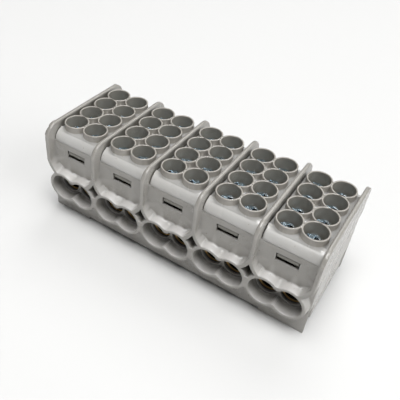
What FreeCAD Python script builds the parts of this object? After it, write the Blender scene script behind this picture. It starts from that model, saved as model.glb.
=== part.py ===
import FreeCAD, Part
import os

# Five-pole power distribution block, in millimetres.
# X runs along the row of poles, Y from the front to the back, Z up.
# The origin is on the ground, under the middle of the housing.

POLES = 5
ROWS = 4
COLUMNS = "ab"
SIDES = (-1, 1)
# How far a cutter reaches past the surface that it opens
OVER = "1"

TURN_TO_X = FreeCAD.Rotation(FreeCAD.Vector(0, 1, 0), 90)
TURN_TO_Y = FreeCAD.Rotation(FreeCAD.Vector(1, 0, 0), -90)

doc = FreeCAD.newDocument("power_distribution_block")
sheet = doc.addObject("Spreadsheet::Sheet", "dims")

SIZES = {
    # the row of poles
    "pole_pitch": 25.0,
    "end_overhang": 0.9,
    "partition_thick": 1.8,
    "partition_corner": 6.5,
    # heights above the ground
    "overall_height": 45.4,
    "cap_drop": 3.2,
    "shoulder_height": 4.8,
    "entry_height": 16.2,
    "cowl_height": 32.1,
    "rail_seat": 4.4,
    "floor_height": 7.3,
    "floor_thick": 1.5,
    # half depths from the middle plane
    "lip_depth": 26.2,
    "wall_depth": 22.0,
    "wall_thick": 1.3,
    # wire entries
    "bore_offset": 5.1,
    "lip_thick": 1.35,
    "lobe_flare": 0.7,
    "funnel_depth": 5.5,
    "funnel_taper": 0.2,
    "funnel_floor_thick": 1.4,
    "hole_clearance": 0.2,
    "collar_width": 0.6,
    "collar_height": 0.35,
    "neck_inside": 4.05,
    "neck_outside": 6.0,
    "neck_bite": 0.03,
    "web_height": 3.0,
    # cowl over each wire entry
    "cowl_lap": 0.4,
    "cowl_thick": 1.8,
    "pocket_depth": 5.6,
    "pocket_half": 4.2,
    # snap window
    "window_drop": 3.1,
    "window_height": 3.5,
    "window_half": 4.7,
    "window_bevel": 0.25,
    # feet and end tongues
    "foot_length": 19.8,
    "foot_relief": 1.1,
    "tongue_half": 17.0,
    "slit_top": 12.4,
    "slit_depth": 1.0,
    # mounting rail
    "rail_half": 17.5,
    "rail_clearance": 0.2,
    "rail_grip": 1.4,
    "hook_thick": 1.2,
    "hook_lip": 0.9,
    "hook_lip_height": 1.2,
    "hook_length": 10.0,
    # cap
    "cap_clearance": 0.3,
    "cap_thick": 1.3,
    "shoulder_radius": 4.6,
    "rebate_width": 0.6,
    "rebate_depth": 0.5,
    "row_pitch": 9.66,
    "tower_wall": 0.75,
    "well_radius": 4.55,
    "well_depth": 4.65,
    "guide_radius": 4.35,
    "snap_clearance": 0.2,
    "snap_thick": 1.1,
    "snap_recess": 0.3,
    "snap_side_gap": 0.3,
    "snap_top_gap": 0.15,
    "snap_height": 1.8,
    # terminal block
    "terminal_clearance": 0.3,
    "terminal_half_length": 19.0,
    "terminal_height": 19.6,
    "bore_radius": 4.4,
    "bore_chamfer": 0.4,
    # clamp screw
    "screw_radius": 3.95,
    "thread_clearance": 0.05,
    "screw_sink": 4.7,
    "screw_chamfer": 0.5,
    "slot_length": 6.6,
    "slot_width": 1.3,
    "slot_depth": 2.0,
    "cross_length": 4.6,
    "first_turn": 20.0,
    "next_turn": 37.0,
}

for row, (alias, value) in enumerate(SIZES.items(), start=1):
    sheet.set(f"A{row}", alias)
    sheet.set(f"B{row}", str(value))
    sheet.setAlias(f"B{row}", alias)

# Sizes worked out from the driving ones
DERIVED = {
    "end_half": f"{POLES} * pole_pitch / 2 + end_overhang",
    "inner_half": "pole_pitch / 2 - partition_thick / 2",
    "cap_top": "overall_height - cap_drop",
    "wall_top": "cap_top - shoulder_height",
    "wall_inside": "wall_depth - wall_thick",
    "floor_top": "floor_height + floor_thick",
    "lobe_radius": "pole_pitch / 2 - bore_offset",
    "mouth_radius": "lobe_radius - lip_thick",
    "funnel_radius": "mouth_radius - funnel_taper",
    "funnel_floor": "lip_depth - funnel_depth",
    "plate_inside": "funnel_floor - funnel_floor_thick",
    "hole_radius": "bore_radius + hole_clearance",
    "cowl_inside": "inner_half + cowl_lap",
    "cowl_outside": "cowl_inside + cowl_thick",
    "cowl_start": "cowl_height - sqrt(cowl_inside ^ 2 - inner_half ^ 2)",
    "base_radius": "lobe_radius + lobe_flare",
    "web_half": "lobe_radius - sqrt(lobe_radius ^ 2 - web_height ^ 2) + neck_bite",
    "waist_inside": "(bore_offset ^ 2 + neck_inside ^ 2 - (mouth_radius - neck_bite) ^ 2)"
                    " / (2 * (mouth_radius - neck_bite - neck_inside))",
    "waist_outside": "(bore_offset ^ 2 + neck_outside ^ 2 - (lobe_radius - neck_bite) ^ 2)"
                     " / (2 * (lobe_radius - neck_bite - neck_outside))",
    "pocket_floor": "lip_depth - pocket_depth",
    "boss_half": "cowl_thick + partition_thick",
    "window_top": "wall_top - window_drop",
    "window_foot": "window_top - window_height",
    "hook_inside": "rail_half + rail_clearance",
    "hook_foot": "rail_seat - rail_grip - hook_lip_height",
    "cap_half": "inner_half - cap_clearance",
    "tower_radius": "well_radius + tower_wall",
    "terminal_half": "inner_half - terminal_clearance",
    "terminal_top": "floor_top + terminal_height",
    "tower_foot": "terminal_top + terminal_clearance",
    "guide_top": "overall_height - well_depth",
    "snap_outside": "wall_inside - snap_clearance",
    "snap_inside": "snap_outside - snap_thick",
    "snap_top": "window_top - snap_top_gap",
    "snap_foot": "snap_top - snap_height",
    "snap_half": "window_half - snap_side_gap",
    "thread_radius": "screw_radius + thread_clearance",
    "screw_top": "overall_height - screw_sink",
    "screw_tip": "entry_height + bore_radius",
}


def d(formula):
    """Turn a formula of plain size names into an expression on the sheet."""
    words = []
    word = ""
    for letter in formula.replace("OVER", OVER) + " ":
        if letter.isalnum() or letter == "_" or (letter == "." and word):
            word += letter
            continue
        if word in SIZES:
            word = "dims." + word
        elif word in DERIVED:
            word = f"({d(DERIVED[word])})"
        words.append(word + letter)
        word = ""
    return "".join(words).strip()


def place(obj, x, y, z):
    obj.setExpression("Placement.Base.x", d(x))
    obj.setExpression("Placement.Base.y", d(y))
    obj.setExpression("Placement.Base.z", d(z))
    return obj


def box(name, xs, ys, zs):
    """A box between two formulas on each axis."""
    obj = doc.addObject("Part::Box", name)
    obj.setExpression("Length", d(f"({xs[1]}) - ({xs[0]})"))
    obj.setExpression("Width", d(f"({ys[1]}) - ({ys[0]})"))
    obj.setExpression("Height", d(f"({zs[1]}) - ({zs[0]})"))
    return place(obj, xs[0], ys[0], zs[0])


def rod(name, radius, x, y, z, length, turn=None):
    """A cylinder from a point, along Z unless it is turned."""
    obj = doc.addObject("Part::Cylinder", name)
    if turn is not None:
        obj.Placement = FreeCAD.Placement(FreeCAD.Vector(), turn)
    obj.setExpression("Radius", d(radius))
    obj.setExpression("Height", d(length))
    return place(obj, x, y, z)


def cone(name, low_radius, high_radius, x, y, z, length, turn=None):
    """A cone from a point, along Z unless it is turned."""
    obj = doc.addObject("Part::Cone", name)
    if turn is not None:
        obj.Placement = FreeCAD.Placement(FreeCAD.Vector(), turn)
    obj.setExpression("Radius1", d(low_radius))
    obj.setExpression("Radius2", d(high_radius))
    obj.setExpression("Height", d(length))
    return place(obj, x, y, z)


def fuse(name, parts):
    obj = doc.addObject("Part::MultiFuse", name)
    obj.Shapes = parts
    obj.Refine = True
    return obj


def common(name, base, tool):
    obj = doc.addObject("Part::Common", name)
    obj.Base = base
    obj.Tool = tool
    return obj


def cut(name, base, tool):
    obj = doc.addObject("Part::Cut", name)
    obj.Base = base
    obj.Tool = tool
    obj.Refine = True
    return obj


def arch(name, xs, half, zs, radius):
    """A slab across the depth whose two top corners are round."""
    low, high = zs
    length = f"({xs[1]}) - ({xs[0]})"
    middle = box(name + "_middle", xs, (f"-({half} - {radius})", f"{half} - {radius}"), zs)
    flanks = box(name + "_flanks", xs, (f"-({half})", half), (low, f"{high} - {radius}"))
    corners = []
    for side, word in zip(("-", ""), ("front", "back")):
        y = f"{side}({half} - {radius})"
        corners.append(rod(f"{name}_{word}", radius, xs[0], y, f"{high} - {radius}", length, TURN_TO_X))
    return fuse(name, [middle, flanks] + corners)


def span(side, inner, outer):
    """The two ends along Y of something at the front or at the back."""
    if side < 0:
        return (f"-({outer})", f"-({inner})")
    return (inner, outer)


def centre(pole):
    """Formula for the middle of a pole, counted from 0 at the left."""
    return f"({pole - (POLES - 1) / 2} * pole_pitch)"


def border(number):
    """Formula for the middle plane of a partition, counted from 0 at the left."""
    return f"({number - POLES / 2} * pole_pitch)"


# Housing


def partitions():
    """The four partitions and the two end plates, with round top corners and a rib under the floor."""
    parts = []
    for number in range(POLES + 1):
        name = f"partition_{number}"
        low = f"{border(number)} - partition_thick / 2"
        high = f"{border(number)} + partition_thick / 2"
        if number == 0:
            low = "-end_half"
        if number == POLES:
            high = "end_half"
        xs = (low, high)
        zs = ("cowl_start", "overall_height")
        top = arch(name, xs, "lip_depth", zs, "partition_corner")
        web = box(name + "_web", xs, ("-wall_depth", "wall_depth"), ("floor_height", "cowl_start"))
        rib = box(name + "_rib", xs, ("-tongue_half", "tongue_half"), ("rail_seat", "floor_height"))
        parts += [top, web, rib]
    return parts


def walls():
    """The front and back walls, which reach down as skirts, and the floor under the terminal blocks."""
    xs = ("-end_half", "end_half")
    parts = [box("floor", xs, ("-wall_inside", "wall_inside"), ("floor_height", "floor_top"))]
    for side in SIDES:
        ys = span(side, "wall_inside", "wall_depth")
        parts.append(box(f"wall_{side + 1}", xs, ys, ("0", "wall_top")))
    return parts


def cowl(pole, side):
    """The band that curls under a pole from one partition to the other."""
    name = f"cowl_{pole}_{side + 1}"
    low, high = span(side, "wall_inside", "lip_depth")
    length = f"{high} - ({low})"
    outside = rod(name + "_outside", "cowl_outside", centre(pole), low, "cowl_height", length, TURN_TO_Y)
    inside = rod(name + "_inside", "cowl_inside", centre(pole), low, "cowl_height", length, TURN_TO_Y)
    left = f"{centre(pole)} - pole_pitch / 2"
    right = f"{centre(pole)} + pole_pitch / 2"
    if pole == 0:
        left = "-end_half"
    if pole == POLES - 1:
        right = "end_half"
    lower = box(name + "_lower", (left, right), (low, high), ("entry_height", "cowl_start"))
    band = cut(name + "_band", outside, inside)
    return common(name, band, lower)


def waist(name, pole, ys, half_height, fillet, radius):
    """The middle of a figure of eight, hollowed above and below by two round fillets."""
    low, high = ys
    reach = f"bore_offset * {fillet} / ({radius} + {fillet})"
    crest = f"({half_height} + {fillet}) * {radius} / ({radius} + {fillet})"
    xs = (f"{centre(pole)} - {reach}", f"{centre(pole)} + {reach}")
    block = box(name, xs, ys, (f"entry_height - {crest}", f"entry_height + {crest}"))
    rounds = []
    for sign, word in (("-", "under"), ("+", "over")):
        z = f"entry_height {sign} ({half_height} + {fillet})"
        rounds.append(rod(f"{name}_{word}", fillet, centre(pole), low, z, f"{high} - ({low})", TURN_TO_Y))
    return cut(name + "_waist", block, fuse(name + "_rounds", rounds))


def entry_tubes(pole, side):
    """The outside of the figure-of-eight wire entry, which widens from its lip to the wall."""
    name = f"entry_{pole}_{side + 1}"
    low, high = span(side, "wall_depth", "lip_depth")
    root_low, root_high = span(side, "plate_inside", "wall_depth")
    radii = ("lobe_radius", "base_radius") if side < 0 else ("base_radius", "lobe_radius")
    parts = []
    for column, sign in zip(COLUMNS, "-+"):
        x = f"{centre(pole)} {sign} bore_offset"
        parts.append(cone(f"{name}_{column}", *radii, x, low, "entry_height", f"{high} - ({low})", TURN_TO_Y))
        length = f"{root_high} - ({root_low})"
        root = rod(f"{name}_{column}_root", "lobe_radius", x, root_low, "entry_height", length, TURN_TO_Y)
        parts.append(root)
    ys = span(side, "plate_inside", "lip_depth")
    parts.append(waist(f"{name}_neck", pole, ys, "neck_outside", "waist_outside", "lobe_radius"))
    return parts


def entry_webs(number, side):
    """The web that joins the entries of two neighbouring poles, and the boss behind the pocket over it."""
    name = f"web_{number}_{side + 1}"
    xs = (f"{border(number)} - web_half", f"{border(number)} + web_half")
    zs = ("entry_height - web_height", "entry_height + web_height")
    web = box(name, xs, span(side, "wall_inside", "lip_depth"), zs)
    xs = (f"{border(number)} - boss_half", f"{border(number)} + boss_half")
    zs = ("entry_height", "cowl_start")
    boss = box(name + "_boss", xs, span(side, "plate_inside", "wall_depth"), zs)
    return [web, boss]


def pocket(number, side):
    """The four-cornered pocket between the cowls and the wire entries of two poles."""
    name = f"pocket_{number}_{side + 1}"
    low, high = span(side, "pocket_floor", "wall_depth + OVER")
    length = f"{high} - ({low})"
    xs = (f"{border(number)} - pocket_half", f"{border(number)} + pocket_half")
    blank = box(name + "_blank", xs, (low, high), ("entry_height", "cowl_height"))
    around = []
    for step, word in ((-0.5, "left"), (0.5, "right")):
        x = f"{border(number)} + {step} * pole_pitch"
        lobe_x = f"{border(number)} + {2 * step} * lobe_radius"
        around.append(rod(f"{name}_cowl_{word}", "cowl_outside", x, low, "cowl_height", length, TURN_TO_Y))
        lobe = rod(f"{name}_lobe_{word}", "base_radius", lobe_x, low, "entry_height", length, TURN_TO_Y)
        around.append(lobe)
    xs = (f"{border(number)} - web_half", f"{border(number)} + web_half")
    zs = ("entry_height - web_height", "entry_height + web_height")
    around.append(box(name + "_web", xs, (low, high), zs))
    return cut(name, blank, fuse(name + "_around", around))


def funnel(pole, side):
    """The hollow of a wire entry: two tapered mouths and the neck between them."""
    name = f"funnel_{pole}_{side + 1}"
    low, high = span(side, "funnel_floor", "lip_depth")
    radii = ("mouth_radius", "funnel_radius") if side < 0 else ("funnel_radius", "mouth_radius")
    parts = []
    for column, sign in zip(COLUMNS, "-+"):
        x = f"{centre(pole)} {sign} bore_offset"
        parts.append(cone(f"{name}_{column}", *radii, x, low, "entry_height", "funnel_depth", TURN_TO_Y))
        hole_low, hole_high = span(side, "plate_inside - OVER", "funnel_floor + OVER")
        length = f"{hole_high} - ({hole_low})"
        hole = rod(f"{name}_{column}_hole", "hole_radius", x, hole_low, "entry_height", length, TURN_TO_Y)
        parts.append(hole)
    parts.append(waist(f"{name}_neck", pole, (low, high), "neck_inside", "waist_inside", "mouth_radius"))
    return parts


def collars(pole, side):
    """The low ring round each hole in the floor of a wire entry."""
    name = f"collar_{pole}_{side + 1}"
    low, high = span(side, "plate_inside", "funnel_floor + collar_height")
    length = f"{high} - ({low})"
    outside = "hole_radius + collar_width"
    parts = []
    for column, sign in zip(COLUMNS, "-+"):
        x = f"{centre(pole)} {sign} bore_offset"
        ring = rod(f"{name}_{column}_ring", outside, x, low, "entry_height", length, TURN_TO_Y)
        hole = rod(f"{name}_{column}_hole", "hole_radius", x, low, "entry_height", length, TURN_TO_Y)
        parts.append(cut(f"{name}_{column}", ring, hole))
    return parts


def window(pole, side):
    """The opening that the cap snaps into, with a bevel along its lower edge."""
    name = f"window_{pole}_{side + 1}"
    xs = (f"{centre(pole)} - window_half", f"{centre(pole)} + window_half")
    ys = span(side, "wall_inside - OVER", "wall_depth + OVER")
    opening = box(name, xs, ys, ("window_foot", "window_top"))
    bevel_ys = span(side, "wall_depth - window_bevel", "wall_depth + OVER")
    bevel = box(name + "_bevel", xs, bevel_ys, ("window_foot - window_bevel", "window_foot"))
    return [opening, bevel]


def end_slits():
    """The grooves that part the tongue of each end plate from the skirts."""
    parts = []
    for end in SIDES:
        xs = span(end, "end_half - slit_depth", "end_half + OVER")
        for side in SIDES:
            ys = span(side, "tongue_half", "wall_inside")
            parts.append(box(f"slit_{end + 1}_{side + 1}", xs, ys, ("floor_height - OVER", "slit_top")))
    return parts


def feet_relief():
    """The step between the feet, along the lower edge of both skirts."""
    xs = ("-(end_half - foot_length)", "end_half - foot_length")
    parts = []
    for side in SIDES:
        ys = span(side, "wall_inside - OVER", "wall_depth + OVER")
        parts.append(box(f"relief_{side + 1}", xs, ys, ("-OVER", "foot_relief")))
    return parts


def rail_hooks(pole):
    """The two hooks under a pole that hold the edges of a mounting rail."""
    parts = []
    xs = (f"{centre(pole)} - hook_length / 2", f"{centre(pole)} + hook_length / 2")
    for side in SIDES:
        name = f"hook_{pole}_{side + 1}"
        ys = span(side, "hook_inside", "hook_inside + hook_thick")
        parts.append(box(name, xs, ys, ("hook_foot", "floor_height")))
        lip_ys = span(side, "hook_inside - hook_lip", "hook_inside + hook_thick")
        parts.append(box(name + "_lip", xs, lip_ys, ("hook_foot", "hook_foot + hook_lip_height")))
    return parts


def housing():
    """The one moulding that holds everything. The collars are added after its hollows are cut."""
    solids = partitions() + walls()
    hollows = end_slits() + feet_relief()
    rings = []
    for pole in range(POLES):
        solids += rail_hooks(pole)
        for side in SIDES:
            solids.append(cowl(pole, side))
            solids += entry_tubes(pole, side)
            hollows += funnel(pole, side) + window(pole, side)
            rings += collars(pole, side)
    for number in range(1, POLES):
        for side in SIDES:
            solids += entry_webs(number, side)
            hollows.append(pocket(number, side))
    blank = fuse("housing_blank", solids)
    hollow = cut("housing_hollowed", blank, fuse("housing_hollows", hollows))
    body = fuse("housing", [hollow] + rings)
    body.Label = "housing"
    return body


# Cap


def towers(pole):
    """The eight towers, the wells in their tops and the narrower guides below, round the screws."""
    tubes = []
    wells = []
    for column, sign in zip(COLUMNS, "-+"):
        for row in range(ROWS):
            name = f"tower_{pole}_{column}{row + 1}"
            x = f"{centre(pole)} {sign} bore_offset"
            y = f"{row - (ROWS - 1) / 2} * row_pitch"
            length = "overall_height - tower_foot"
            tubes.append(rod(name, "tower_radius", x, y, "tower_foot", length))
            wells.append(rod(name + "_well", "well_radius", x, y, "guide_top", "well_depth + OVER"))
            wells.append(rod(name + "_guide", "guide_radius", x, y, "tower_foot - OVER", length + " + OVER"))
    return tubes, wells


def snaps(pole, side):
    """The leg behind the wall and the barb that fills the upper part of the window."""
    name = f"snap_{pole}_{side + 1}"
    xs = (f"{centre(pole)} - snap_half", f"{centre(pole)} + snap_half")
    leg = box(name, xs, span(side, "snap_inside", "snap_outside"), ("snap_foot", "cap_top"))
    barb_ys = span(side, "snap_inside", "wall_depth - snap_recess")
    barb = box(name + "_barb", xs, barb_ys, ("snap_foot", "snap_top"))
    return [leg, barb]


def rebates(pole):
    """The shallow step along both sides of the cap's flat top."""
    parts = []
    for sign, word in ((-1, "left"), (1, "right")):
        near, far = span(sign, "cap_half - rebate_width", "cap_half + OVER")
        xs = (f"{centre(pole)} + ({near})", f"{centre(pole)} + ({far})")
        ys = ("-(wall_depth - shoulder_radius)", "wall_depth - shoulder_radius")
        parts.append(box(f"rebate_{pole}_{word}", xs, ys, ("cap_top - rebate_depth", "cap_top + OVER")))
    return parts


def cap(pole):
    """A thin roof with rounded shoulders, two snap legs and eight towers, all in one moulding."""
    name = f"cap_{pole + 1}"
    xs = (f"{centre(pole)} - cap_half", f"{centre(pole)} + cap_half")
    outside = arch(name + "_outside", xs, "wall_depth", ("tower_foot", "cap_top"), "shoulder_radius")
    wide = (f"{xs[0]} - OVER", f"{xs[1]} + OVER")
    inside = arch(name + "_inside", wide, "wall_inside", ("tower_foot", "cap_top - cap_thick"),
                  "shoulder_radius - cap_thick")
    above = box(name + "_above", xs, ("-wall_depth", "wall_depth"), ("wall_top", "cap_top"))
    shell = cut(name + "_shell", common(name + "_roof", outside, above), inside)
    trimmed = cut(name + "_trimmed", shell, fuse(name + "_rebates", rebates(pole)))
    blanks = fuse(name + "_leg_blanks", snaps(pole, SIDES[0]) + snaps(pole, SIDES[1]))
    legs = common(name + "_legs", blanks, outside)
    tubes, wells = towers(pole)
    moulding = fuse(name + "_moulding", [trimmed, legs] + tubes)
    body = cut(name, moulding, fuse(name + "_wells", wells))
    body.Label = name
    return body


# Terminal block


def terminal(pole):
    """A brass block with two bores through it and a threaded hole over them for each screw."""
    name = f"terminal_block_{pole + 1}"
    xs = (f"{centre(pole)} - terminal_half", f"{centre(pole)} + terminal_half")
    ys = ("-terminal_half_length", "terminal_half_length")
    blank = box(name + "_blank", xs, ys, ("floor_top", "terminal_top"))
    holes = []
    for column, sign in zip(COLUMNS, "-+"):
        x = f"{centre(pole)} {sign} bore_offset"
        bore = f"{name}_{column}"
        holes.append(rod(bore, "bore_radius", x, "-terminal_half_length - OVER", "entry_height",
                         "2 * (terminal_half_length + OVER)", TURN_TO_Y))
        holes.append(cone(bore + "_front", "bore_radius + bore_chamfer", "bore_radius", x,
                          "-terminal_half_length", "entry_height", "bore_chamfer", TURN_TO_Y))
        holes.append(cone(bore + "_back", "bore_radius", "bore_radius + bore_chamfer", x,
                          "terminal_half_length - bore_chamfer", "entry_height", "bore_chamfer", TURN_TO_Y))
        for row in range(ROWS):
            y = f"{row - (ROWS - 1) / 2} * row_pitch"
            holes.append(rod(f"{bore}{row + 1}_thread", "thread_radius", x, y, "entry_height",
                             "terminal_top - entry_height + OVER"))
    body = cut(name, blank, fuse(name + "_holes", holes))
    body.Label = name
    return body


# Clamp screw


def recess(name, length, x, y, angle):
    """One arm of the driver recess, turned with its screw."""
    obj = doc.addObject("Part::Box", name)
    obj.setExpression("Length", d(length))
    obj.setExpression("Width", d("slot_width"))
    obj.setExpression("Height", d("slot_depth + OVER"))
    obj.setExpression("Placement.Rotation.Axis.x", "0")
    obj.setExpression("Placement.Rotation.Axis.y", "0")
    obj.setExpression("Placement.Rotation.Axis.z", "1")
    obj.setExpression("Placement.Rotation.Angle", d(angle))
    sine = f"sin(({angle}) * 1 deg)"
    cosine = f"cos(({angle}) * 1 deg)"
    return place(obj, f"{x} - ({cosine} * {length} - {sine} * slot_width) / 2",
                 f"{y} - ({sine} * {length} + {cosine} * slot_width) / 2", "screw_top - slot_depth")


def clamp_screw(pole, column, row):
    """A headless screw with chamfered ends and a crossed driver recess."""
    name = f"clamp_screw_{pole + 1}_{row + 1}_{COLUMNS[column]}"
    sign = "-+"[column]
    x = f"{centre(pole)} {sign} bore_offset"
    y = f"{row - (ROWS - 1) / 2} * row_pitch"
    narrow = "screw_radius - screw_chamfer"
    shank = rod(name + "_shank", "screw_radius", x, y, "screw_tip + screw_chamfer",
                "screw_top - screw_tip - 2 * screw_chamfer")
    crown = cone(name + "_crown", "screw_radius", narrow, x, y, "screw_top - screw_chamfer", "screw_chamfer")
    tip = cone(name + "_tip", narrow, "screw_radius", x, y, "screw_tip", "screw_chamfer")
    angle = f"first_turn + {ROWS * (2 * pole + column) + row} * next_turn"
    arms = [recess(name + "_slot", "slot_length", x, y, angle),
            recess(name + "_cross", "cross_length", x, y, angle + " + 90")]
    body = cut(name, fuse(name + "_blank", [shank, crown, tip]), fuse(name + "_recess", arms))
    body.Label = name
    return body


pieces = [housing()]
for pole in range(POLES):
    pieces.append(cap(pole))
    pieces.append(terminal(pole))
    for column in range(len(COLUMNS)):
        for row in range(ROWS):
            pieces.append(clamp_screw(pole, column, row))

doc.recompute()

for obj in doc.Objects:
    for state in obj.State:
        if state in ("Invalid", "Error"):
            raise RuntimeError(f"{obj.Name} is {state}")

os.makedirs("parts", exist_ok=True)
for piece in pieces:
    shape = piece.Shape
    if shape.isNull() or not shape.isValid() or len(shape.Solids) != 1:
        raise RuntimeError(f"{piece.Label} is not one valid solid")
for piece in pieces:
    piece.Shape.exportStep(f"parts/{piece.Label}.step")
print(len(pieces), "pieces written")
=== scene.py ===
import math

import bmesh
import bpy
from mathutils import Matrix, Vector


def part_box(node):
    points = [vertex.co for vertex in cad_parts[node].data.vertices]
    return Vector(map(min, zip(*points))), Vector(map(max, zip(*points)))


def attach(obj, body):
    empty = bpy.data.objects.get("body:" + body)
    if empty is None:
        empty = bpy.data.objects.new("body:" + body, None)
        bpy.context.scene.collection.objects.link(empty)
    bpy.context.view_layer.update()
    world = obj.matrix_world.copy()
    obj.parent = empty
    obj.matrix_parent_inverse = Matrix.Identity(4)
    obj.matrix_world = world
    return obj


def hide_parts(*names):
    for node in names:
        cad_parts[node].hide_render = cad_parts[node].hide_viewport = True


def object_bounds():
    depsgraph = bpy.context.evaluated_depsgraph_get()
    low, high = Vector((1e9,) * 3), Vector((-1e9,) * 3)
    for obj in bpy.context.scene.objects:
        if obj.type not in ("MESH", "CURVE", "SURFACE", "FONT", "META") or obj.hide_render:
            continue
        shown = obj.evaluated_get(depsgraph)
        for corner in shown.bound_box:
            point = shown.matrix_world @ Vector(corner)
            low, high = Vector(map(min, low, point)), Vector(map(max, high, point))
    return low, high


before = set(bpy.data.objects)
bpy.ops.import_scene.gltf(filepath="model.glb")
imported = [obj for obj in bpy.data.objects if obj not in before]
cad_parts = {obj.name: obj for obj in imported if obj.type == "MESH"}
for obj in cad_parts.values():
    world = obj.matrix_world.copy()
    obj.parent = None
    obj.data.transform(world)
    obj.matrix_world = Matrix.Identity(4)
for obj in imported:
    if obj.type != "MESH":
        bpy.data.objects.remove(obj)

# Looks of a five-pole power distribution block, in metres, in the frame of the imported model.

MM = 0.001
POLES = 5
ROWS = 4
COLUMNS = "ab"
ROW_PITCH = 9.66 * MM
POLE_PITCH = 25.0 * MM
BORE_OFFSET = 5.1 * MM
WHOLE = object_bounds()
FIRST_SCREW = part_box("clamp_screw_1_1_a")


def new_object(name, data):
    """A new object in the scene, with the given mesh, lamp or camera."""
    made = bpy.data.objects.new(name, data)
    bpy.context.scene.collection.objects.link(made)
    return made


# Shader helpers

OPENNESS_SAMPLES = 16
EDGE_SAMPLES = 6


class Shader:
    """A node material with short calls for the nodes that it needs."""

    def __init__(self, name):
        self.material = bpy.data.materials.new(name)
        self.material.use_nodes = True
        self.tree = self.material.node_tree
        self.surface = self.tree.nodes["Principled BSDF"]
        self.place = self.node("ShaderNodeTexCoord").outputs["Object"]

    def node(self, kind, **settings):
        made = self.tree.nodes.new(kind)
        for key, value in settings.items():
            setattr(made, key, value)
        return made

    def link(self, source, target):
        self.tree.links.new(source, target)

    def drive(self, name, source):
        """Link one of the surface's own sockets."""
        self.link(source, self.surface.inputs[name])

    def set(self, name, value):
        """Set one of the surface's own sockets to a plain value."""
        self.surface.inputs[name].default_value = value

    def feed(self, socket, value):
        """Link a socket to another node's output, or set it to a plain value."""
        if isinstance(value, bpy.types.NodeSocket):
            self.link(value, socket)
        else:
            socket.default_value = value

    def noise(self, scale, detail=2.0, roughness=0.5):
        made = self.node("ShaderNodeTexNoise")
        self.link(self.place, made.inputs["Vector"])
        made.inputs["Scale"].default_value = scale
        made.inputs["Detail"].default_value = detail
        made.inputs["Roughness"].default_value = roughness
        return made.outputs["Fac"]

    def math(self, operation, first, second=0.0, third=0.0):
        made = self.node("ShaderNodeMath", operation=operation)
        for socket, value in zip(made.inputs, (first, second, third)):
            self.feed(socket, value)
        return made.outputs[0]

    def spread(self, value, low, high, to_low, to_high):
        """Map a range onto another, without going past its ends."""
        made = self.node("ShaderNodeMapRange", clamp=True)
        for socket, number in zip(made.inputs, (value, low, high, to_low, to_high)):
            self.feed(socket, number)
        return made.outputs["Result"]

    def split(self, vector):
        """The X, Y and Z of a vector."""
        made = self.node("ShaderNodeSeparateXYZ")
        self.link(vector, made.inputs[0])
        return made.outputs

    def mix(self, share, first, second):
        made = self.node("ShaderNodeMix", data_type="RGBA")
        self.feed(made.inputs["Factor"], share)
        for name, colour in (("A", first), ("B", second)):
            socket = [s for s in made.inputs if s.name == name and s.type == "RGBA"][0]
            self.feed(socket, colour if isinstance(colour, bpy.types.NodeSocket) else (*colour, 1.0))
        return [s for s in made.outputs if s.type == "RGBA"][0]

    def bump(self, height, depth, strength, normal):
        made = self.node("ShaderNodeBump")
        made.inputs["Strength"].default_value = strength
        made.inputs["Distance"].default_value = depth
        self.link(height, made.inputs["Height"])
        self.link(normal, made.inputs["Normal"])
        return made.outputs["Normal"]

    def openness(self, reach):
        """1 on open surfaces, less down in wells and corners, where shade gathers; used to paint shade
        into colours.
        """
        made = self.node("ShaderNodeAmbientOcclusion", samples=OPENNESS_SAMPLES)
        made.inputs["Distance"].default_value = reach
        return made.outputs["AO"]

    def round_edges(self, radius):
        made = self.node("ShaderNodeBevel", samples=EDGE_SAMPLES)
        made.inputs["Radius"].default_value = radius
        return made.outputs["Normal"]


# The part of a noise's values that is spread over a colour or gloss
NOISE_SPAN = (0.3, 0.7)

# Zones of the housing

RIM_HEIGHT = 40.0 * MM
FLAT_FACING = (0.25, 0.75)
CAVITY_REACH = 15.0 * MM
CAVITY_OPENNESS = (0.15, 0.5)
# Paler colour painted on up-facing ledges below the rim height: a painted highlight for light from above
LEDGE_HIGHLIGHT_COLOUR = (0.42, 0.41, 0.395)
# Darker colour for the flat tops above the rim height
RIM_COLOUR = (0.23, 0.22, 0.20)
# Colour of the painted shade down in the wire entries and other hollows
ENTRY_SHADE_COLOUR = (0.12, 0.112, 0.095)


def housing_zones(shader, plain_colour):
    """Up-facing ledges painted paler as painted light from above, flat tops above the rim height coloured
    darker, and painted shade down in the wire entries.
    """
    z = shader.split(shader.place)[2]
    facing = shader.split(shader.node("ShaderNodeNewGeometry").outputs["Normal"])[2]
    flat = shader.spread(facing, *FLAT_FACING, 0.0, 1.0)
    high = shader.math("GREATER_THAN", z, RIM_HEIGHT)
    # Painted light: up-facing surfaces below the rim height are made paler
    lit_ledge = shader.math("MULTIPLY", flat, shader.math("SUBTRACT", 1.0, high))
    ledge_painted_light = shader.mix(lit_ledge, plain_colour, LEDGE_HIGHLIGHT_COLOUR)
    # Flat tops above the rim height are coloured darker
    darker_tops = shader.mix(shader.math("MULTIPLY", flat, high), ledge_painted_light, RIM_COLOUR)
    # Painted shade: darker where ambient occlusion finds the surface hemmed in, in the wire entries,
    # funnels and near the floor
    entry_painted_shade = shader.spread(shader.openness(CAVITY_REACH), *CAVITY_OPENNESS, 1.0, 0.0)
    return shader.mix(entry_painted_shade, darker_tops, ENTRY_SHADE_COLOUR)


# Zones of the caps

WELL_RADIUS = 4.55 * MM
WELL_EDGE = (0.02 * MM, 0.12 * MM)
TOWER_RADIUS = 5.3 * MM
TOWER_MARGIN = 0.05 * MM
TONGUE_TOP = 34.4 * MM
PLATE_TOP = 42.3 * MM
TOWER_FOOT = 0.5 * MM
ROWS_REACH = ROWS / 2 * ROW_PITCH
INSIDE_ROWS = 0.2 * MM
OUTSIDE_ROWS = 0.6 * MM
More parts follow.
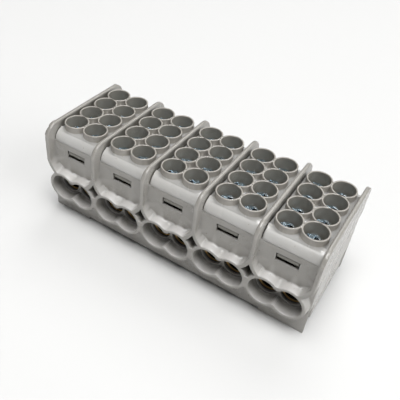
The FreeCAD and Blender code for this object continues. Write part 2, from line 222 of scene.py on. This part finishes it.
# Colour of the painted shade on the wells' inner walls and the tongues
CAVITY_SHADE_COLOUR = (0.20, 0.192, 0.168)
# Colour of the painted shade on the tower sides
TOWER_SIDE_SHADE_COLOUR = (0.27, 0.255, 0.23)


def cap_zones(shader, plain_colour):
    """Painted shade: darker and warmer on the tower sides, near dark on the wells' inner walls and on the
    tongues, and plain elsewhere.
    """
    x, y, z = shader.split(shader.place)
    pole = shader.math("WRAP", x, POLE_PITCH / 2, -POLE_PITCH / 2)
    across = shader.math("SUBTRACT", shader.math("ABSOLUTE", pole), BORE_OFFSET)
    row = shader.math("SUBTRACT", shader.math("WRAP", y, ROW_PITCH, 0.0), ROW_PITCH / 2)
    squares = shader.math("ADD", shader.math("POWER", across, 2.0), shader.math("POWER", row, 2.0))
    radius = shader.math("SQRT", squares)
    reach = shader.math("ABSOLUTE", y)
    in_rows = shader.math("LESS_THAN", reach, ROWS_REACH - INSIDE_ROWS)
    well = shader.spread(radius, WELL_RADIUS + WELL_EDGE[0], WELL_RADIUS + WELL_EDGE[1], 1.0, 0.0)
    tongue = shader.math("LESS_THAN", z, TONGUE_TOP)
    # Painted shade in the wells and on the tongues in the slot windows
    well_and_tongue_shade = shader.math("MAXIMUM", shader.math("MULTIPLY", well, in_rows), tongue)
    near = shader.math("LESS_THAN", reach, ROWS_REACH + OUTSIDE_ROWS)
    wall = shader.math("LESS_THAN", radius, TOWER_RADIUS + TOWER_MARGIN)
    front = shader.math("GREATER_THAN", reach, ROWS_REACH)
    beside = shader.math("MULTIPLY", shader.math("MAXIMUM", wall, front), near)
    above = shader.spread(z, PLATE_TOP, PLATE_TOP + TOWER_FOOT, 0.0, 1.0)
    # Painted shade: the tower sides are coloured darker than the cap's tops
    tower_side_shade = shader.math("MULTIPLY", beside, above)
    return shader.mix(well_and_tongue_shade, shader.mix(tower_side_shade, plain_colour, TOWER_SIDE_SHADE_COLOUR), CAVITY_SHADE_COLOUR)


# Moulded plastic

FLOW_SCALE = 55.0
FLOW_DETAIL = 3.0
FLOW_ROUGHNESS = 0.55
FLOW_DEPTH = 0.10 * MM
FLOW_STRENGTH = 0.01
GRAIN_SCALE = 5200.0
GRAIN_GLOSS = 0.01
SPECK_SCALE = 1300.0
SPECK_SPAN = (0.83, 0.86)
SPECK_SHARE = 0.5
SPECK_COLOUR = (0.14, 0.10, 0.06)
PLASTIC_GLOSS = (0.22, 0.30)
PLASTIC_EDGE = 0.35 * MM
PLASTIC_IOR = 1.57
PLASTIC_DEPTH = 0.06
PLASTIC_SCATTER = (0.9 * MM, 0.8 * MM, 0.6 * MM)
HOUSING_COLOUR = (0.32, 0.31, 0.29)
HOUSING_SHADE = (0.295, 0.283, 0.262)
CAP_COLOUR = (0.45, 0.445, 0.43)
CAP_SHADE = (0.42, 0.412, 0.395)


def moulded_plastic(name, colour, shade, zones):
    """Smooth grey moulding with softly rounded edges, faint flow marks, rare specks and a satin grain."""
    shader = Shader(name)
    flow = shader.noise(FLOW_SCALE, FLOW_DETAIL, FLOW_ROUGHNESS)
    grain = shader.spread(shader.noise(GRAIN_SCALE), *NOISE_SPAN, -GRAIN_GLOSS, GRAIN_GLOSS)
    moulded = zones(shader, shader.mix(shader.spread(flow, *NOISE_SPAN, 0.0, 1.0), colour, shade))
    specks = shader.spread(shader.noise(SPECK_SCALE, detail=0.0), *SPECK_SPAN, 0.0, SPECK_SHARE)
    shader.drive("Base Color", shader.mix(specks, moulded, SPECK_COLOUR))
    satin = shader.spread(flow, *NOISE_SPAN, *PLASTIC_GLOSS)
    shader.drive("Roughness", shader.math("ADD", satin, grain))
    rounded = shader.round_edges(PLASTIC_EDGE)
    shader.drive("Normal", shader.bump(flow, FLOW_DEPTH, FLOW_STRENGTH, rounded))
    shader.set("IOR", PLASTIC_IOR)
    shader.set("Subsurface Weight", PLASTIC_DEPTH)
    shader.set("Subsurface Radius", PLASTIC_SCATTER)
    return shader.material


# Brass

BRASS_COLOUR = (0.60, 0.40, 0.17)
BRASS_FILM = (0.40, 0.25, 0.10)
# Colour of the painted shade down in the bores
BORE_SHADE_COLOUR = (0.035, 0.022, 0.014)
BORE_EDGE = (18.5 * MM, 18.8 * MM)
DULL_SCALE = 260.0
DULL_DETAIL = 4.0
DULL_SPAN = (0.35, 0.7)
BRASS_GLOSS = (0.22, 0.42)
RING_PITCH = 0.45 * MM
RING_DEPTH = 0.02 * MM
RING_STRENGTH = 0.5
BRASS_EDGE = 0.2 * MM


def machined_brass(name):
    """Brass with fine turning rings, a little dulling, and painted shade down in its bores."""
    shader = Shader(name)
    y = shader.split(shader.place)[1]
    rings = shader.math("SINE", shader.math("MULTIPLY", y, 2 * math.pi / RING_PITCH))
    dull = shader.noise(DULL_SCALE, DULL_DETAIL)
    bright = shader.mix(shader.spread(dull, *DULL_SPAN, 0.0, 1.0), BRASS_COLOUR, BRASS_FILM)
    # Painted shade: near black inside the bores
    bore_shade = shader.spread(shader.math("ABSOLUTE", y), *BORE_EDGE, 1.0, 0.0)
    shader.drive("Base Color", shader.mix(bore_shade, bright, BORE_SHADE_COLOUR))
    shader.set("Metallic", 1.0)
    shader.drive("Roughness", shader.spread(dull, *NOISE_SPAN, *BRASS_GLOSS))
    rounded = shader.round_edges(BRASS_EDGE)
    shader.drive("Normal", shader.bump(rings, RING_DEPTH, RING_STRENGTH, rounded))
    return shader.material


# Zinc plating

ZINC_COLOUR = (0.95, 0.98, 1.0)
ZINC_FILM = (0.52, 0.66, 0.76)
# Colour of the painted shade down in the driver recess
RECESS_SHADE_COLOUR = (0.04, 0.045, 0.05)
RECESS_SHADE = (0.9 * MM, 0.3 * MM)
PATCH_SCALE = 420.0
PATCH_DETAIL = 3.0
PATCH_SPAN = (0.35, 0.65)
ZINC_GLOSS = (0.08, 0.22)
PIT_SCALE = 1700.0
PIT_DEPTH = 0.2 * MM
PIT_STRENGTH = 0.9
ZINC_EDGE = 0.15 * MM


def zinc_plating(name):
    """Bright bluish zinc with a patchy passivation film, and painted shade down in the driver recess."""
    shader = Shader(name)
    patches = shader.noise(PATCH_SCALE, PATCH_DETAIL)
    plated = shader.mix(shader.spread(patches, *PATCH_SPAN, 0.0, 1.0), ZINC_COLOUR, ZINC_FILM)
    z = shader.split(shader.place)[2]
    top = FIRST_SCREW[1].z
    # Painted shade: near black below the screw's top, in the driver recess
    unshaded_top = shader.spread(z, top - RECESS_SHADE[0], top - RECESS_SHADE[1], 0.0, 1.0)
    shader.drive("Base Color", shader.mix(unshaded_top, RECESS_SHADE_COLOUR, plated))
    shader.set("Metallic", 1.0)
    shader.drive("Roughness", shader.spread(patches, *NOISE_SPAN, *ZINC_GLOSS))
    rounded = shader.round_edges(ZINC_EDGE)
    shader.drive("Normal", shader.bump(shader.noise(PIT_SCALE), PIT_DEPTH, PIT_STRENGTH, rounded))
    return shader.material


housing_plastic = moulded_plastic("housing_plastic", HOUSING_COLOUR, HOUSING_SHADE, housing_zones)
cap_plastic = moulded_plastic("cap_plastic", CAP_COLOUR, CAP_SHADE, cap_zones)
brass = machined_brass("brass")
zinc = zinc_plating("zinc")


def dress(node, material):
    """Give a CAD node its material."""
    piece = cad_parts[node]
    piece.data.materials.clear()
    piece.data.materials.append(material)


for pole in range(1, POLES + 1):
    dress(f"terminal_block_{pole}", brass)


def finished(mesh, name, material, crease):
    """Turn a bmesh into a mesh, smooth except over edges sharper than the crease."""
    data = bpy.data.meshes.new(name)
    mesh.to_mesh(data)
    mesh.free()
    data.materials.append(material)
    data.shade_smooth()
    data.set_sharp_from_angle(angle=crease)
    return data


# Housing and caps with rounded edges

EDGE_RADIUS = 0.3 * MM
EDGE_STEPS = 2
EDGE_ROOM = 2.2
RIDGE_RADIUS = 0.6 * MM
RIDGE_STEPS = 3
RIDGE_REACH = 1.2 * MM
RIDGE_FOOT = 30.0 * MM
SIDEWAYS = 0.99
WELD = 0.002 * MM
CORNER = math.radians(35.0)
CREASE = math.radians(50.0)


def room_beside(edge):
    """How far the narrower of an edge's two faces reaches from it."""
    start = edge.verts[0].co
    along = (edge.verts[1].co - start).normalized()
    return min(max((v.co - start).cross(along).length for v in face.verts) for face in edge.link_faces)


def on_ridge(edge):
    """Whether an edge is the rim of a partition or end plate, above the wire entries."""
    middle = (edge.verts[0].co + edge.verts[1].co) / 2
    border = (middle.x / POLE_PITCH + POLES / 2) % 1.0
    near = min(border, 1.0 - border) * POLE_PITCH < RIDGE_REACH
    beside = any(abs(face.normal.x) > SIDEWAYS for face in edge.link_faces)
    return near and middle.z > RIDGE_FOOT and beside


def is_corner(edge):
    """Whether an edge is an outer corner between two faces."""
    if len(edge.link_faces) != 2 or edge.calc_length() <= WELD:
        return False
    return edge.calc_face_angle_signed() > CORNER


def round_off(mesh, radius, steps, wanted):
    """Round the wanted outer corners whose faces have room for the radius."""
    corners = [edge for edge in mesh.edges
               if is_corner(edge) and room_beside(edge) > EDGE_ROOM * radius and wanted(edge)]
    bmesh.ops.bevel(mesh, geom=corners, offset=radius, offset_type="OFFSET", segments=steps,
                    profile=0.5, affect="EDGES", clamp_overlap=False, loop_slide=False)


def rounded_copy(node, name, material):
    """A node's shape with its outer corners rounded off, held within the node's own box."""
    mesh = bmesh.new()
    mesh.from_mesh(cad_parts[node].data)
    bmesh.ops.remove_doubles(mesh, verts=mesh.verts, dist=WELD)
    round_off(mesh, RIDGE_RADIUS, RIDGE_STEPS, on_ridge)
    round_off(mesh, EDGE_RADIUS, EDGE_STEPS, lambda edge: True)
    low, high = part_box(node)
    for vertex in mesh.verts:
        vertex.co = [min(max(value, least), most) for value, least, most in zip(vertex.co, low, high)]
    piece = new_object(name, finished(mesh, name, material, CREASE))
    weighted = piece.modifiers.new("weighted_normals", "WEIGHTED_NORMAL")
    weighted.keep_sharp = True
    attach(piece, "block")
    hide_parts(node)


rounded_copy("housing", "moulded_housing", housing_plastic)
for pole in range(1, POLES + 1):
    rounded_copy(f"cap_{pole}", f"moulded_cap_{pole}", cap_plastic)


# Clamp screws with a rolled thread and a crossed driver recess

SCREW_RADIUS = 3.95 * MM
SCREW_CHAMFER = 0.5 * MM
SCREW_CREASE = math.radians(32.0)
THREAD_PITCH = 1.25 * MM
THREAD_DEPTH = 0.6 * MM
# Share of the thread's depth in the middle of a pitch, and how fast it falls off, held within 0 to 1
THREAD_ROOT = 1.3
THREAD_FLANK = 3.6
RINGS_PER_TURN = 6
SPOKES = 36
SLOT_LENGTH = 6.6 * MM
CROSS_LENGTH = 4.6 * MM
SLOT_WIDTH = 2.3 * MM
SLOT_FLOOR = 0.5 * MM
SLOT_DEPTH = 1.3 * MM
FIRST_TURN = 150.0
NEXT_TURN = 7.0
TURN_CYCLE = 5


def add_wedge(mesh, length, width, floor_width, low, high):
    """Add a bar with sloping sides to an open bmesh, wider at the top."""
    levels = ((low, floor_width), (high, width))
    signs = ((-1, -1), (1, -1), (1, 1), (-1, 1))
    corners = [mesh.verts.new((x * length / 2, y * side / 2, z)) for z, side in levels for x, y in signs]
    for face in ((3, 2, 1, 0), (4, 5, 6, 7), (0, 1, 5, 4), (1, 2, 6, 5), (2, 3, 7, 6), (3, 0, 4, 7)):
        mesh.faces.new([corners[i] for i in face])


def groove(z, turn):
    """The depth of the thread at a height and at a share of a turn."""
    phase = (z / THREAD_PITCH - turn) % 1.0
    return THREAD_DEPTH * min(1.0, max(0.0, THREAD_ROOT - abs(phase - 0.5) * THREAD_FLANK))


def screw_blank(low, high):
    """A threaded rod with a chamfer at both ends, between two heights."""
    threaded = high - low - 2 * SCREW_CHAMFER
    count = round(threaded / (THREAD_PITCH / RINGS_PER_TURN))
    between = [(low + SCREW_CHAMFER + threaded * i / count, False) for i in range(count + 1)]
    mesh = bmesh.new()
    rings = []
    for z, end in [(low, True), *between, (high, True)]:
        ring = []
        for spoke in range(SPOKES):
            turn = spoke / SPOKES
            radius = SCREW_RADIUS - (SCREW_CHAMFER if end else groove(z, turn))
            angle = 2 * math.pi * turn
            ring.append(mesh.verts.new((radius * math.cos(angle), radius * math.sin(angle), z)))
        rings.append(ring)
    for lower, upper in zip(rings, rings[1:]):
        for i in range(SPOKES):
            j = (i + 1) % SPOKES
            mesh.faces.new((lower[i], lower[j], upper[j], upper[i]))
    mesh.faces.new(reversed(rings[0]))
    mesh.faces.new(rings[-1])
    return mesh


def screw_template():
    """One screw on the Z axis, at the height of the ones in the block, with its recess cut out."""
    low, high = (corner.z for corner in FIRST_SCREW)
    rod = finished(screw_blank(low, high), "screw_shank", zinc, SCREW_CREASE)
    shank = new_object("screw_shank", rod)
    cutters = []
    for name, length, turn in (("slot", SLOT_LENGTH, 0.0), ("cross", CROSS_LENGTH, 90.0)):
        arm = bmesh.new()
        add_wedge(arm, length, SLOT_WIDTH, SLOT_FLOOR, high - SLOT_DEPTH, high + WELD)
        cutter = new_object(f"screw_{name}", finished(arm, f"screw_{name}", zinc, SCREW_CREASE))
        cutter.rotation_euler.z = math.radians(turn)
        cut = shank.modifiers.new(cutter.name, "BOOLEAN")
        cut.object = cutter
        cut.operation = "DIFFERENCE"
        cut.solver = "EXACT"
        cutters.append(cutter)
    bpy.context.view_layer.update()
    depsgraph = bpy.context.evaluated_depsgraph_get()
    data = bpy.data.meshes.new_from_object(shank.evaluated_get(depsgraph))
    data.name = "threaded_screw"
    data.set_sharp_from_angle(angle=SCREW_CREASE)
    for spent in (shank, *cutters):
        bpy.data.objects.remove(spent)
    return data


def fit_screws():
    """Put a threaded screw in place of each plain one, each left at its own turn."""
    template = screw_template()
    for pole in range(POLES):
        for column, letter in enumerate(COLUMNS):
            for row in range(ROWS):
                place = f"{pole + 1}_{row + 1}_{letter}"
                screw = new_object(f"threaded_screw_{place}", template)
                x = (pole - (POLES - 1) / 2) * POLE_PITCH + (2 * column - 1) * BORE_OFFSET
                y = (row - (ROWS - 1) / 2) * ROW_PITCH
                index = ROWS * (2 * pole + column) + row
                turn = math.radians(FIRST_TURN + index % TURN_CYCLE * NEXT_TURN)
                screw.location = (x, y, 0.0)
                screw.rotation_euler = (0.0, 0.0, turn)
                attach(screw, f"screw_{place}")
                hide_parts(f"clamp_screw_{place}")


fit_screws()


# Stage

FLOOR_COLOUR = (0.55, 0.55, 0.545)
FLOOR_ROUGHNESS = 0.9
FLOOR_HALF = 3.0
WORLD_COLOUR = (1.0, 1.0, 1.0)
HORIZON_LIGHT = 0.35
SKY_LIGHT = 0.07
HORIZON_SPAN = (0.08, 0.30)
LAMP_DISTANCE = 2.5
# Each lamp's name, azimuth and elevation in degrees, size in metres and power in watts
LAMPS = (
    ("key", 25.0, 80.0, 1.7, 86.0),
    ("side", 95.0, 32.0, 1.9, 38.0),
    ("back", 190.0, 50.0, 1.2, 20.0),
)


def pale_floor():
    """A plain matt floor under the block."""
    shader = Shader("stage_floor")
    shader.set("Base Color", (*FLOOR_COLOUR, 1.0))
    shader.set("Roughness", FLOOR_ROUGHNESS)
    mesh = bpy.data.meshes.new("floor")
    signs = ((-1, -1), (1, -1), (1, 1), (-1, 1))
    mesh.from_pydata([(x * FLOOR_HALF, y * FLOOR_HALF, 0) for x, y in signs], [], [(0, 1, 2, 3)])
    mesh.materials.append(shader.material)
    floor = new_object("floor", mesh)


def soft_box(name, azimuth, elevation, size, power):
    """A square lamp that faces the middle of the block."""
    light = bpy.data.lights.new(name, "AREA")
    light.shape = "SQUARE"
    light.size = size
    light.energy = power
    lamp = new_object(name, light)
    a = math.radians(azimuth)
    e = math.radians(elevation)
    away = Vector((math.sin(a) * math.cos(e), -math.cos(a) * math.cos(e), math.sin(e)))
    lamp.location = (WHOLE[0] + WHOLE[1]) / 2 + away * LAMP_DISTANCE
    lamp.rotation_mode = "QUATERNION"
    lamp.rotation_quaternion = away.to_track_quat("Z", "Y")


def studio():
    """Soft lamps and a white world that is brighter near the horizon than overhead."""
    world = bpy.data.worlds.new("studio")
    world.use_nodes = True
    tree = world.node_tree
    sky = tree.nodes["Background"]
    sky.inputs["Color"].default_value = (*WORLD_COLOUR, 1.0)
    direction = tree.nodes.new("ShaderNodeSeparateXYZ")
    tree.links.new(tree.nodes.new("ShaderNodeTexCoord").outputs["Generated"], direction.inputs[0])
    fade = tree.nodes.new("ShaderNodeMapRange")
    for socket, value in zip(list(fade.inputs)[1:5], (*HORIZON_SPAN, HORIZON_LIGHT, SKY_LIGHT)):
        socket.default_value = value
    tree.links.new(direction.outputs["Z"], fade.inputs[0])
    tree.links.new(fade.outputs["Result"], sky.inputs["Strength"])
    bpy.context.scene.world = world
    for lamp in LAMPS:
        soft_box(*lamp)
    bpy.context.scene.view_settings.view_transform = "Standard"


# Camera, at the photo's angle

FRAME_PIXELS = 400
FOCAL_PIXELS = 534.3
SENSOR = 36.0
AZIMUTH = math.radians(29.47)
ELEVATION = math.radians(40.21)
ROLL = math.radians(5.40)
STANDPOINT = Vector((80.37, -158.23, 173.55)) * MM
SHIFT_ACROSS = 19.0
SHIFT_DOWN = 7.9
NEAR_CLIP = 0.01
FAR_CLIP = 20.0


def photo_camera():
    """The camera that stands where the photo was taken from."""
    ahead = math.cos(ELEVATION)
    forward = Vector((-math.sin(AZIMUTH) * ahead, math.cos(AZIMUTH) * ahead, -math.sin(ELEVATION)))
    level = Vector((math.cos(AZIMUTH), math.sin(AZIMUTH), 0.0))
    upright = level.cross(forward)
    right = level * math.cos(ROLL) + upright * math.sin(ROLL)
    up = upright * math.cos(ROLL) - level * math.sin(ROLL)
    data = bpy.data.cameras.new("photo_camera")
    data.sensor_width = SENSOR
    data.lens = FOCAL_PIXELS / FRAME_PIXELS * SENSOR
    data.shift_x = SHIFT_ACROSS / FRAME_PIXELS
    data.shift_y = -SHIFT_DOWN / FRAME_PIXELS
    data.clip_start = NEAR_CLIP
    data.clip_end = FAR_CLIP
    camera = new_object("photo_camera", data)
    turn = Matrix((right, up, -forward)).transposed()
    camera.matrix_world = Matrix.Translation(STANDPOINT) @ turn.to_4x4()
    bpy.context.scene.camera = camera


pale_floor()
studio()
photo_camera()

bpy.context.view_layer.update()
